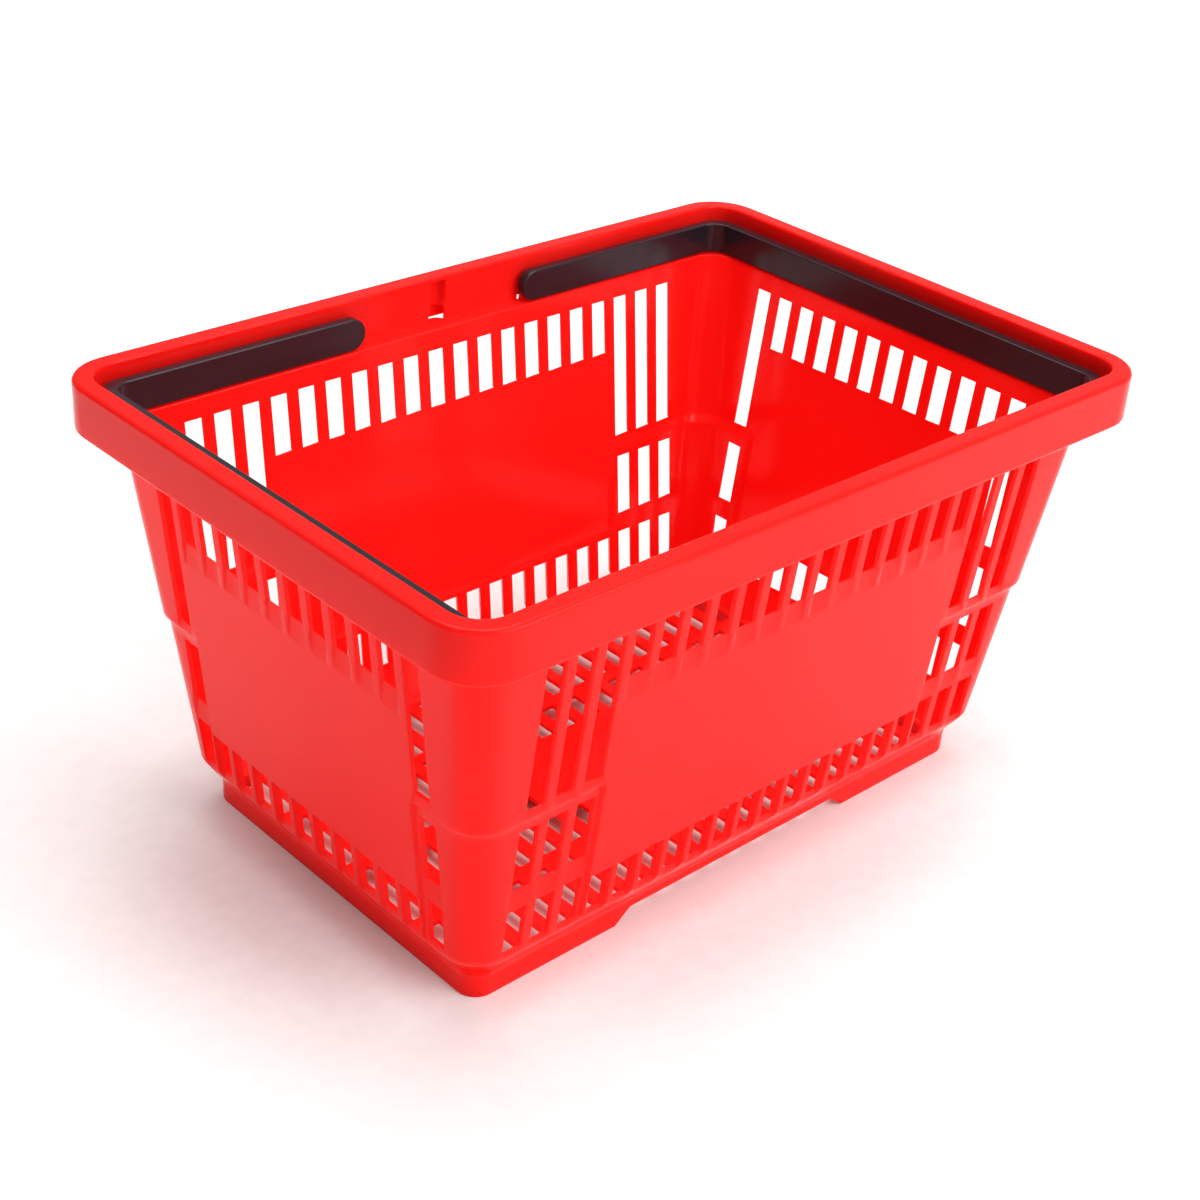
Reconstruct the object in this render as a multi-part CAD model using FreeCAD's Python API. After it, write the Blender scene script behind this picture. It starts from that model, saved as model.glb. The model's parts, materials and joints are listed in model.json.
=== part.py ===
import FreeCAD, Part
import math
import os

# Shopping basket: one red moulding with a slotted wall on each side, a slotted floor, a deep rim
# and two black U-shaped handles that snap into the rim and fold down onto a ledge inside it.
# Frame: origin under the centre of the basket on the ground plane, +Z up, +X along the length.
# The front (long wall) faces -Y. Everything is in millimetres.

# --- overall size -----------------------------------------------------------------------------
LENGTH = 480.0
WIDTH = 332.0
HEIGHT = 254.0

# --- rim: inverted channel that runs around the top -------------------------------------------
RIM_CORNER_R = 28.5
RIM_TOP_W = 11.2            # width of the flat top, outer face to inner face
RIM_BAND_BOTTOM = 226.0     # lower edge of the outer band
RIM_SKIN = 2.4
RIM_INNER_SKIN = 2.2
RIM_OUTER_EDGE_R = 2.6
RIM_INNER_EDGE_R = 1.4
RIM_BAND_EDGE_R = 2.2
RIM_RIB_T = 1.8
RIM_RIB_BOTTOM = 238.0
RIM_LONG_RIBS = (-189.4, -144.3, -99.2, -36.1, 36.1, 99.2, 144.3, 189.4)
RIM_SHORT_RIBS = (-117.3, -72.2, -27.1, 27.1, 72.2, 117.3)
GROOVE_R = 6.0              # half-round upright groove in the middle of each long inner rim face
GROOVE_TOP = 250.6
GROOVE_BACK_BOTTOM = 234.7  # below this the groove has no back, so water and dirt fall out
DRAIN_NOTCH_X = 62.0        # drain notches at the foot of the rim, beside the handle pins
DRAIN_NOTCH_W = 2.6
DRAIN_NOTCH_H = 2.4

# --- ledge that the folded handles rest on ----------------------------------------------------
LEDGE_TOP = 227.0
LEDGE_T = 2.2
LEDGE_EDGE_R = 1.0
LEDGE_EDGE_KNEE = 0.3       # height of the bend halfway round that edge

# --- tapered body -----------------------------------------------------------------------------
WALL_T = 2.2
TAPER = 0.112               # how far a wall leans out for each millimetre of height
INNER_HALF_W = 145.2        # inside of the long walls at the ledge
INNER_HALF_L = 218.6        # inside of the short walls at the ledge
BODY_CORNER_R = 20.0
STEP_IN = 1.9               # the lower part of the wall is set in by this much
STEP_OUTER = (117.5, 121.0)
STEP_INNER = (119.5, 123.5)

# --- base -------------------------------------------------------------------------------------
BASE_HALF_L = 186.3
BASE_HALF_W = 113.4
BASE_CORNER_R = 12.0
BASE_BOTTOM = 8.0
BASE_BAND_TOP = 13.8
CHAMFER_TOP = 30.0
FLOOR_TOP = 11.0
CHAMFER_SKIN = 2.6          # horizontal thickness of the sloping skin

# --- feet: one U-shaped runner around each short end ------------------------------------------
FOOT_W = 7.0
FOOT_LEG_END_BOTTOM = 89.0
FOOT_LEG_END_TOP = 78.8

# --- slots ------------------------------------------------------------------------------------
PITCH = 18.04
LONG_COLUMNS = 20
SHORT_COLUMNS = 12
LONG_OUTER_COLUMNS = 3      # columns at each end of a long wall that run the full height
SHORT_OUTER_COLUMNS = 1
SLOT_W = 10.0               # at the inside of the wall
SLOT_FLARE = 0.5            # how far each side opens for each millimetre towards the outside
SLOT_LAND = 0.9             # wall left behind the moulded relief under a slot
RELIEF_LENGTH = 1.2         # length of the relief, as a share of what the lean of the wall needs
SLOT_TOP_ROW = (181.8, 215.3)
SLOT_TALL_ROW = (125.7, 215.3)
SLOT_MID_ROW = (73.8, 112.7)
SLOT_LOW_ROW = (33.3, 61.1)
SLOT_LOW_ROW_UNDER_PANEL = (33.3, 59.2)

# --- plain raised panel in the middle of each wall --------------------------------------------
PANEL_BOTTOM_INNER = 64.2   # inside, the panel steps back to the lower wall at this height
PANEL_MARGIN_LONG = 11.0    # from the centre of the last panel column to the panel's side
PANEL_MARGIN_SHORT = 9.4
PANEL_BEVEL = 2.5           # width of the slope at the panel's sides

# --- floor ------------------------------------------------------------------------------------
FLOOR_BAR_PITCH = 58.0      # cross bars of the floor, the middle one on the centre line
FLOOR_BAR_W = 8.0
FLOOR_SLOT_END = 104.2
FLOOR_PLATE_HALF_L = 54.1   # plain plate in the middle of the floor
FLOOR_PLATE_HALF_W = 31.0

# --- where the moulding is divided into regions -----------------------------------------------
POST_SPLIT_X = 178.0
POST_SPLIT_Y = 105.6

# --- handles ----------------------------------------------------------------------------------
PIVOT_X = 66.8
PIVOT_Z = 237.1
HANDLE_HALF_H = 9.2
HANDLE_OUTER_X = 225.0
HANDLE_INNER_X = 217.6
HANDLE_OUTER_Y = 151.4
HANDLE_INNER_Y = 145.6
HANDLE_OUTER_R = 14.0
HANDLE_INNER_R = 10.0
HANDLE_EDGE_R = 0.8
PIN_R = 4.0
PIN_CLEARANCE = 0.08
PIN_HEAD_R = 4.9
PIN_TIP_R = 3.2
PIN_HEAD_GAP = 0.4
PIN_HEAD_L = 2.2
PIN_SLIT = 1.4
PIN_SLIT_START = 0.4        # from the outside of the arm

SIDE_ANGLE = {"back": 0, "front": 180, "left": 90, "right": -90}
CORNERS = (("front_left", -1, -1), ("front_right", 1, -1), ("back_left", -1, 1), ("back_right", 1, 1))
FAR = 400.0                 # safely outside the basket
CUT_REACH = 3.0 * WALL_T    # how far the slot cutters reach past the inside of a wall
TOUCH = 1e-3                # two edges closer than this are in the same plane


def vec(x, y, z):
    return FreeCAD.Vector(x, y, z)


def rounded_rect(half_x, half_y, radius, z):
    """Closed wire: a rectangle with rounded corners, centred on the Z axis."""
    k = radius * (1.0 - math.sqrt(0.5))
    cx = half_x - radius
    cy = half_y - radius
    corners = ((1, 1), (-1, 1), (-1, -1), (1, -1))
    edges = []
    ends = []
    for index, (sx, sy) in enumerate(corners):
        on_side = vec(sx * half_x, sy * cy, z)
        on_end = vec(sx * cx, sy * half_y, z)
        middle = vec(sx * (half_x - k), sy * (half_y - k), z)
        start, stop = (on_side, on_end) if index % 2 == 0 else (on_end, on_side)
        ends.append((start, middle, stop))
    for index, (start, middle, stop) in enumerate(ends):
        edges.append(Part.Arc(start, middle, stop).toShape())
        edges.append(Part.LineSegment(stop, ends[(index + 1) % 4][0]).toShape())
    return Part.Wire(edges)


def stack(levels):
    """Solid through a list of (z, half_x, half_y, corner radius) outlines, straight between them."""
    wires = [rounded_rect(half_x, half_y, radius, z) for z, half_x, half_y, radius in levels]
    return Part.makeLoft(wires, True, True)


def box(x0, x1, y0, y1, z0, z1):
    return Part.makeBox(x1 - x0, y1 - y0, z1 - z0, vec(x0, y0, z0))


def prism(points, direction):
    """Extrude a closed polygon of vectors."""
    return Part.Face(Part.makePolygon(points + [points[0]])).extrude(direction)


def turned(shape, degrees):
    copy = shape.copy()
    copy.rotate(vec(0, 0, 0), vec(0, 0, 1), degrees)
    return copy


def inner_half_w(z, lower):
    """Distance from the centre plane to the inside of a long wall."""
    return INNER_HALF_W - TAPER * (LEDGE_TOP - z) - (STEP_IN if lower else 0.0)


def wall_level(z, lower, outward):
    """Outline of the body at a height; outward is 0 on the inside and WALL_T on the outside."""
    half_w = inner_half_w(z, lower) + outward
    half_l = half_w + INNER_HALF_L - INNER_HALF_W
    return (z, half_l, half_w, BODY_CORNER_R - WALL_T + outward)


# --- the hollow tapered body ------------------------------------------------------------------
LEDGE_BOTTOM = LEDGE_TOP - LEDGE_T
ABOVE = 10.0


def body_outside():
    return stack([
        (BASE_BOTTOM, BASE_HALF_L, BASE_HALF_W, BASE_CORNER_R),
        (BASE_BAND_TOP, BASE_HALF_L, BASE_HALF_W, BASE_CORNER_R),
        wall_level(CHAMFER_TOP, True, WALL_T),
        wall_level(STEP_OUTER[0], True, WALL_T),
        wall_level(STEP_OUTER[1], False, WALL_T),
        wall_level(LEDGE_BOTTOM, False, WALL_T),
    ])


def floor_outline():
    """Half sizes and corner radius of the flat floor, where the sloping skin begins."""
    slope = (wall_level(CHAMFER_TOP, True, WALL_T)[2] - BASE_HALF_W) / (CHAMFER_TOP - BASE_BAND_TOP)
    inset = CHAMFER_SKIN + slope * (BASE_BAND_TOP - FLOOR_TOP)
    return BASE_HALF_L - inset, BASE_HALF_W - inset, BASE_CORNER_R - CHAMFER_SKIN


def body_inside():
    floor_l, floor_w, floor_r = floor_outline()
    return stack([
        (FLOOR_TOP, floor_l, floor_w, floor_r),
        wall_level(CHAMFER_TOP, True, 0.0),
        wall_level(STEP_INNER[0], True, 0.0),
        wall_level(STEP_INNER[1], False, 0.0),
        wall_level(LEDGE_TOP + ABOVE, False, 0.0),
    ])


def panel_half(columns, outer_columns, margin):
    """Half width of the raised panel on a wall with this many slot columns."""
    return (columns / 2.0 - outer_columns - 0.5) * PITCH + margin


def panel_block(half_long, half_short, z0, z1):
    """Block in front of all four panels, with sides that slope off into the wall."""
    blocks = []
    for half, angles in ((half_long, (0, 180)), (half_short, (90, -90))):
        block = box(-half, half, 0.0, FAR, z0, z1)
        blocks.extend(turned(block, angle) for angle in angles)
    return blocks[0].multiFuse(blocks[1:])


def sloped_panel_block(half_long, half_short, z0, z1):
    """Like panel_block, but each side moves in by PANEL_BEVEL over the height of the step."""
    blocks = []
    for half, across, angles in (
            (half_long, 0.0, (0, 180)), (half_short, INNER_HALF_L - INNER_HALF_W, (90, -90))):
        outline = []
        for z in (z0, z1):
            foot = inner_half_w(z, True) + WALL_T + across
            outline.append([
                vec(half, 0.0, z), vec(half, foot, z), vec(half - PANEL_BEVEL, foot + STEP_IN, z),
                vec(-half + PANEL_BEVEL, foot + STEP_IN, z), vec(-half, foot, z), vec(-half, 0.0, z)])
        wires = [Part.makePolygon(points + [points[0]]) for points in outline]
        block = Part.makeLoft(wires, True, True)
        blocks.extend(turned(block, angle) for angle in angles)
    return blocks[0].multiFuse(blocks[1:])


def body_shell():
    half_long = panel_half(LONG_COLUMNS, LONG_OUTER_COLUMNS, PANEL_MARGIN_LONG)
    half_short = panel_half(SHORT_COLUMNS, SHORT_OUTER_COLUMNS, PANEL_MARGIN_SHORT)
    rise = (wall_level(CHAMFER_TOP, True, WALL_T)[2] - BASE_HALF_W) / (CHAMFER_TOP - BASE_BAND_TOP)
    panel_bottom = CHAMFER_TOP + STEP_IN / (rise - TAPER)
    upper_outside = stack([
        (BASE_BAND_TOP, BASE_HALF_L, BASE_HALF_W, BASE_CORNER_R),
        wall_level(panel_bottom, False, WALL_T),
        wall_level(STEP_OUTER[1], False, WALL_T),
    ])
    upper_inside = stack([
        wall_level(PANEL_BOTTOM_INNER, False, 0.0),
        wall_level(STEP_INNER[1], False, 0.0),
    ])
    outer_panels = upper_outside.common(
        sloped_panel_block(half_long, half_short, BASE_BAND_TOP, STEP_OUTER[1]))
    inner_panels = upper_inside.common(
        panel_block(half_long - PANEL_BEVEL, half_short - PANEL_BEVEL,
                    PANEL_BOTTOM_INNER, STEP_INNER[1]))
    outside = body_outside().fuse(outer_panels)
    inside = body_inside().fuse(inner_panels)
    return outside.cut(inside)


# --- slots ------------------------------------------------------------------------------------
def slot_cutter(row, lower, shift):
    """Cutter for one slot in the +Y wall, centred on X = 0. It leans with the wall and opens
    towards the outside. Under the slot it leaves the upright relief that a mould drawn straight
    down makes in a leaning wall: it fades out below."""
    z0, z1 = row
    half = SLOT_W / 2.0
    inside = inner_half_w(z0, lower) + shift
    wide = half + SLOT_FLARE * CUT_REACH
    lean = vec(0, TAPER * (z1 - z0), z1 - z0)
    near_y = inside - CUT_REACH
    far_y = inside + CUT_REACH
    slot = prism([vec(-half, near_y, z0), vec(-half, inside, z0), vec(-wide, far_y, z0),
                  vec(wide, far_y, z0), vec(half, inside, z0), vec(half, near_y, z0)], lean)
    land = inside + SLOT_LAND
    low = z0 - RELIEF_LENGTH * (WALL_T - SLOT_LAND) / TAPER
    near = half + SLOT_FLARE * SLOT_LAND
    relief = prism([vec(-near, land, low), vec(-wide, far_y, low),
                    vec(wide, far_y, low), vec(near, land, low)], vec(0, 0, z0 - low))
    return slot.fuse(relief)


def wall_cutters(columns, outer_columns, shift):
    """All slots of the +Y wall; shift moves them out to where a short wall stands."""
    tall = slot_cutter(SLOT_TALL_ROW, False, shift)
    top = slot_cutter(SLOT_TOP_ROW, False, shift)
    mid = slot_cutter(SLOT_MID_ROW, True, shift)
    low = slot_cutter(SLOT_LOW_ROW, True, shift)
    low_panel = slot_cutter(SLOT_LOW_ROW_UNDER_PANEL, True, shift)
    cutters = []
    for column in range(columns):
        x = (column - (columns - 1) / 2.0) * PITCH
        outer = column < outer_columns or column >= columns - outer_columns
        for cutter in ([tall, mid, low] if outer else [top, low_panel]):
            copy = cutter.copy()
            copy.translate(vec(x, 0, 0))
            cutters.append(copy)
    return Part.makeCompound(cutters)


def corner_box(sx, sy, split_x, split_y, z0, z1):
    """Everything beyond the two split planes at one corner; sx and sy pick the corner."""
    xs = sorted((sx * split_x, sx * FAR))
    ys = sorted((sy * split_y, sy * FAR))
    return box(xs[0], xs[1], ys[0], ys[1], z0, z1)


def body_nodes(shell):
    """The moulded body as four slotted walls, four corner posts and four base strips."""
    surround = shell.cut(floor_plate())
    long_cutters = wall_cutters(LONG_COLUMNS, LONG_OUTER_COLUMNS, 0.0)
    short_cutters = wall_cutters(SHORT_COLUMNS, SHORT_OUTER_COLUMNS, INNER_HALF_L - INNER_HALF_W)
    nodes = {}
    for side, half_run, reach, cutters in (
            ("back", POST_SPLIT_X, BASE_HALF_W / 2.0, long_cutters),
            ("front", POST_SPLIT_X, BASE_HALF_W / 2.0, long_cutters),
            ("left", POST_SPLIT_Y, BASE_HALF_L / 2.0, short_cutters),
            ("right", POST_SPLIT_Y, BASE_HALF_L / 2.0, short_cutters)):
        angle = SIDE_ANGLE[side]
        upper = turned(box(-half_run, half_run, reach, FAR, CHAMFER_TOP, LEDGE_BOTTOM), angle)
        lower = turned(box(-half_run, half_run, reach, FAR, BASE_BOTTOM, CHAMFER_TOP), angle)
        slots = turned(cutters, angle)
        nodes[side + "_wall"] = surround.common(upper).cut(slots)
        nodes["base_" + side] = surround.common(lower).cut(slots)
    for name, sx, sy in CORNERS:
        region = corner_box(sx, sy, POST_SPLIT_X, POST_SPLIT_Y, BASE_BOTTOM, LEDGE_BOTTOM)
        nodes[name + "_post"] = surround.common(region)
    return nodes


# --- floor and feet ---------------------------------------------------------------------------
def floor_plate():
    floor_l, floor_w, floor_r = floor_outline()
    return stack([(BASE_BOTTOM, floor_l, floor_w, floor_r), (FLOOR_TOP, floor_l, floor_w, floor_r)])


def floor_grid():
    """Floor plate with a slot under each wall column, two rows on each side of the middle bar."""
    bar_half = FLOOR_BAR_W / 2.0
    half = SLOT_W / 2.0
    outer_row = (FLOOR_BAR_PITCH + bar_half, FLOOR_SLOT_END)
    cutters = []
    for column in range(LONG_COLUMNS):
        x = (column - (LONG_COLUMNS - 1) / 2.0) * PITCH
        inner_start = FLOOR_PLATE_HALF_W if abs(x) < FLOOR_PLATE_HALF_L else bar_half
        for y0, y1 in ((inner_start, FLOOR_BAR_PITCH - bar_half), outer_row):
            cutters.append(box(x - half, x + half, y0, y1, 0.0, 2.0 * FLOOR_TOP))
            cutters.append(box(x - half, x + half, -y1, -y0, 0.0, 2.0 * FLOOR_TOP))
    return floor_plate().cut(Part.makeCompound(cutters))


def feet():
    """Each foot is a rounded U: an end bar across the short side and a leg along each long side."""
    outer = stack([(0.0, BASE_HALF_L, BASE_HALF_W, BASE_CORNER_R),
                   (BASE_BOTTOM, BASE_HALF_L, BASE_HALF_W, BASE_CORNER_R)])
    inner_r = BASE_CORNER_R - FOOT_W
    inner = stack([(-1.0, BASE_HALF_L - FOOT_W, BASE_HALF_W - FOOT_W, inner_r),
                   (BASE_BOTTOM + 1.0, BASE_HALF_L - FOOT_W, BASE_HALF_W - FOOT_W, inner_r)])
    keep = prism([vec(FOOT_LEG_END_BOTTOM, -FAR, 0), vec(FAR, -FAR, 0),
                  vec(FAR, -FAR, BASE_BOTTOM), vec(FOOT_LEG_END_TOP, -FAR, BASE_BOTTOM)],
                 vec(0, 2.0 * FAR, 0))
    right = outer.cut(inner).common(keep)
    split_y = BASE_HALF_W - BASE_CORNER_R
    end_bar = right.common(box(0, FAR, -split_y, split_y, 0, BASE_BOTTOM))
    back_leg = right.common(box(0, FAR, split_y, FAR, 0, BASE_BOTTOM))
    front_leg = right.common(box(0, FAR, -FAR, -split_y, 0, BASE_BOTTOM))
    return {
        "foot_right_end": end_bar, "foot_right_back": back_leg, "foot_right_front": front_leg,
        "foot_left_end": turned(end_bar, 180), "foot_left_front": turned(back_leg, 180),
        "foot_left_back": turned(front_leg, 180),
    }


# --- rim --------------------------------------------------------------------------------------
def arc_between(start, middle, stop):
    return Part.Arc(start, middle, stop).toShape()


def rim_profile():
    """Cross-section of the rim in the plane Y-Z, outer face at Y = 0 and the inside at -Y."""
    r_out, r_in, r_band = RIM_OUTER_EDGE_R, RIM_INNER_EDGE_R, RIM_BAND_EDGE_R
    bend = 1.0 - math.sqrt(0.5)
    inner_face = -RIM_TOP_W
    channel_in = -RIM_TOP_W + RIM_INNER_SKIN
    channel_top = HEIGHT - RIM_SKIN
    p = [
        vec(0, 0, RIM_BAND_BOTTOM + r_band), vec(0, 0, HEIGHT - r_out),
        vec(0, -r_out, HEIGHT), vec(0, inner_face + r_in, HEIGHT),
        vec(0, inner_face, HEIGHT - r_in), vec(0, inner_face, LEDGE_TOP),
        vec(0, channel_in, LEDGE_TOP), vec(0, channel_in, channel_top),
        vec(0, -RIM_SKIN, channel_top), vec(0, -RIM_SKIN, RIM_BAND_BOTTOM),
        vec(0, -r_band, RIM_BAND_BOTTOM),
    ]
    line = [Part.LineSegment(p[i], p[i + 1]).toShape() for i in (0, 2, 4, 5, 6, 7, 8, 9)]
    outer_arc = arc_between(p[1], vec(0, -bend * r_out, HEIGHT - bend * r_out), p[2])
    inner_arc = arc_between(p[3], vec(0, inner_face + bend * r_in, HEIGHT - bend * r_in), p[4])
    band_arc = arc_between(p[10], vec(0, -bend * r_band, RIM_BAND_BOTTOM + bend * r_band), p[0])
    edges = [line[0], outer_arc, line[1], inner_arc] + line[2:] + [band_arc]
    return Part.Face(Part.Wire(edges))


def rim_rib(at_x, outer_y):
    return box(at_x - RIM_RIB_T / 2.0, at_x + RIM_RIB_T / 2.0,
               outer_y - RIM_TOP_W + RIM_INNER_SKIN, outer_y - RIM_SKIN,
               RIM_RIB_BOTTOM, HEIGHT - RIM_SKIN)


def rim_side(half_run, outer_y, ribs):
    """One straight run of rim, lying along X with its outer face at +Y."""
    profile = rim_profile()
    profile.translate(vec(-half_run, outer_y, 0))
    run = profile.extrude(vec(2.0 * half_run, 0, 0))
    return run.multiFuse([rim_rib(x, outer_y) for x in ribs]).removeSplitter()


def rim_corner(outer_x, outer_y):
    """The corner at +X +Y: the same section turned a quarter of a circle."""
    profile = rim_profile()
    profile.translate(vec(outer_x - RIM_CORNER_R, outer_y, 0))
    centre = vec(outer_x - RIM_CORNER_R, outer_y - RIM_CORNER_R, 0)
    return profile.revolve(centre, vec(0, 0, 1), -90)


def groove_floor():
    """Half-disc of ledge under the groove of the +Y rim run."""
    inner_face = WIDTH / 2.0 - RIM_TOP_W
    disc = Part.makeCylinder(GROOVE_R, LEDGE_T, vec(0, inner_face, LEDGE_BOTTOM))
    return disc.common(box(-FAR, FAR, inner_face + RIM_INNER_SKIN, FAR, LEDGE_BOTTOM, LEDGE_TOP))


def rim_long_side():
    """Rim run along a long wall, with its groove, pin holes and drain notches."""
    side = rim_side(LENGTH / 2.0 - RIM_CORNER_R, WIDTH / 2.0, RIM_LONG_RIBS)
    inner_face = WIDTH / 2.0 - RIM_TOP_W
    y0 = inner_face - 1.0
    y1 = inner_face + RIM_INNER_SKIN + 1.0
    groove_wall = Part.makeCylinder(GROOVE_R + RIM_INNER_SKIN, HEIGHT - RIM_SKIN - GROOVE_BACK_BOTTOM,
                                    vec(0, inner_face, GROOVE_BACK_BOTTOM))
    behind = box(-FAR, FAR, inner_face + RIM_INNER_SKIN, WIDTH / 2.0 - RIM_SKIN, 0.0, FAR)
    cuts = [Part.makeCylinder(GROOVE_R, GROOVE_TOP - LEDGE_TOP, vec(0, inner_face, LEDGE_TOP))]
    for x in (-PIVOT_X, PIVOT_X):
        cuts.append(Part.makeCylinder(PIN_R + PIN_CLEARANCE, y1 - y0, vec(x, y0, PIVOT_Z), vec(0, 1, 0)))
    for x in (-DRAIN_NOTCH_X, DRAIN_NOTCH_X):
        cuts.append(box(x - DRAIN_NOTCH_W / 2.0, x + DRAIN_NOTCH_W / 2.0, y0, y1,
                        LEDGE_TOP - 1.0, LEDGE_TOP + DRAIN_NOTCH_H))
    return side.fuse(groove_wall.common(behind)).cut(Part.makeCompound(cuts)).removeSplitter()


def ledge_ring():
    """Flat ring between the walls and the rim, with a soft inner edge."""
    outer_l = LENGTH / 2.0 - RIM_TOP_W + RIM_INNER_SKIN
    outer_w = WIDTH / 2.0 - RIM_TOP_W + RIM_INNER_SKIN
    outer_r = RIM_CORNER_R - RIM_TOP_W + RIM_INNER_SKIN
    plate = stack([(LEDGE_BOTTOM, outer_l, outer_w, outer_r), (LEDGE_TOP, outer_l, outer_w, outer_r)])
    soft = LEDGE_EDGE_R
    knee = LEDGE_EDGE_KNEE
    low = wall_level(LEDGE_BOTTOM - soft, False, 0.0)
    high = wall_level(LEDGE_TOP - soft, False, 0.0)
    hole = stack([low, high,
                  (LEDGE_TOP - knee, high[1] + knee, high[2] + knee, high[3]),
                  (LEDGE_TOP, high[1] + soft, high[2] + soft, high[3]),
                  (LEDGE_TOP + soft, high[1] + soft, high[2] + soft, high[3])])
    return plate.cut(hole)


def rim_nodes():
    """Straight rim runs, the ledge strips beside them, and corners that hold both."""
    half_l = LENGTH / 2.0
    half_w = WIDTH / 2.0
    long_side = rim_long_side()
    short_side = rim_side(half_w - RIM_CORNER_R, half_l, RIM_SHORT_RIBS)
    ledge = ledge_ring()
    split_x = half_l - RIM_CORNER_R
    split_y = half_w - RIM_CORNER_R
    corner = rim_corner(half_l, half_w)
    mirrored = corner.mirror(vec(0, 0, 0), vec(0, 1, 0))
    rim_corners = {
        "back_right": corner, "front_left": turned(corner, 180),
        "front_right": mirrored, "back_left": turned(mirrored, 180),
    }
    nodes = {}
    for side, run, half_run in (("back", long_side, split_x), ("front", long_side, split_x),
                                ("left", short_side, split_y), ("right", short_side, split_y)):
        angle = SIDE_ANGLE[side]
        strip = turned(box(-half_run, half_run, INNER_HALF_W / 2.0, FAR, LEDGE_BOTTOM, LEDGE_TOP), angle)
        nodes["rim_" + side] = turned(run, angle)
        nodes["ledge_" + side] = ledge.common(strip)
    for side in ("back", "front"):
        floor = turned(groove_floor(), SIDE_ANGLE[side])
        nodes["ledge_" + side] = nodes["ledge_" + side].fuse(floor).removeSplitter()
    for name, sx, sy in CORNERS:
        region = corner_box(sx, sy, split_x, split_y, LEDGE_BOTTOM, LEDGE_TOP)
        nodes["rim_corner_" + name] = rim_corners[name].fuse(ledge.common(region)).removeSplitter()
    return nodes


# --- handles ----------------------------------------------------------------------------------
def handle_bail():
    """The left handle, folded: arms along the long sides, grip along the short side."""
    z0 = PIVOT_Z - HANDLE_HALF_H
    z1 = PIVOT_Z + HANDLE_HALF_H
    end_x = -PIVOT_X + HANDLE_HALF_H
    outer = stack([(z0, HANDLE_OUTER_X, HANDLE_OUTER_Y, HANDLE_OUTER_R),
                   (z1, HANDLE_OUTER_X, HANDLE_OUTER_Y, HANDLE_OUTER_R)])
    inner = stack([(z0 - 1.0, HANDLE_INNER_X, HANDLE_INNER_Y, HANDLE_INNER_R),
                   (z1 + 1.0, HANDLE_INNER_X, HANDLE_INNER_Y, HANDLE_INNER_R)])
    bail = outer.cut(inner).common(box(-FAR, end_x, -FAR, FAR, z0, z1))
    rounding = box(-PIVOT_X, end_x + 1.0, -FAR, FAR, z0 - 1.0, z1 + 1.0).cut(
        Part.makeCylinder(HANDLE_HALF_H, 2.0 * FAR, vec(-PIVOT_X, -FAR, PIVOT_Z), vec(0, 1, 0)))
    return bail.cut(rounding)


def soften(bail):
    """Round the edges between the flat faces and the top, bottom and ends."""
    edges = []
    for edge in bail.Edges:
        middle = edge.valueAt((edge.FirstParameter + edge.LastParameter) / 2.0)
        level = abs(abs(middle.z - PIVOT_Z) - HANDLE_HALF_H) < TOUCH
        on_end = middle.x > -PIVOT_X and edge.Curve.TypeId == "Part::GeomCircle"
        across = edge.BoundBox.YLength > 1.0 and edge.BoundBox.XLength < TOUCH
        if (level or on_end) and not across:
            edges.append(edge)
    return bail.makeFillet(HANDLE_EDGE_R, edges)


def pivot_pin(side):
    """Pin with a split snap head, pointing out through the rim's inner skin."""
    root = HANDLE_OUTER_Y - 1.0
    back_of_skin = WIDTH / 2.0 - RIM_TOP_W + RIM_INNER_SKIN
    head_start = back_of_skin + PIN_HEAD_GAP
    out = vec(0, side, 0)
    shank = Part.makeCylinder(PIN_R, head_start - root, vec(-PIVOT_X, side * root, PIVOT_Z), out)
    head = Part.makeCone(PIN_HEAD_R, PIN_TIP_R, PIN_HEAD_L,
                         vec(-PIVOT_X, side * head_start, PIVOT_Z), out)
    slit_root = HANDLE_OUTER_Y + PIN_SLIT_START
    slit_y = sorted((side * slit_root, side * FAR))
    slit = box(-PIVOT_X - PIN_SLIT / 2.0, -PIVOT_X + PIN_SLIT / 2.0, slit_y[0], slit_y[1],
               PIVOT_Z - 2.0 * PIN_R, PIVOT_Z + 2.0 * PIN_R)
    return shank.fuse(head).cut(slit)


def handle_nodes():
    left = soften(handle_bail()).multiFuse([pivot_pin(1), pivot_pin(-1)]).removeSplitter()
    return {"left_handle": left, "right_handle": turned(left, 180)}


def build():
    nodes = body_nodes(body_shell())
    nodes["floor_grid"] = floor_grid()
    nodes.update(feet())
    nodes.update(rim_nodes())
    nodes.update(handle_nodes())
    return nodes


os.makedirs("parts", exist_ok=True)
for node_name, node_shape in build().items():
    solid = node_shape.Solids[0]
    solid.exportStep("parts/" + node_name + ".step")
    print(node_name, len(node_shape.Solids), solid.isValid(), round(solid.Volume / 1000.0, 2))
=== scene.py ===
import json
import math

import bmesh
import bpy
from mathutils import Matrix, Vector

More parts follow.
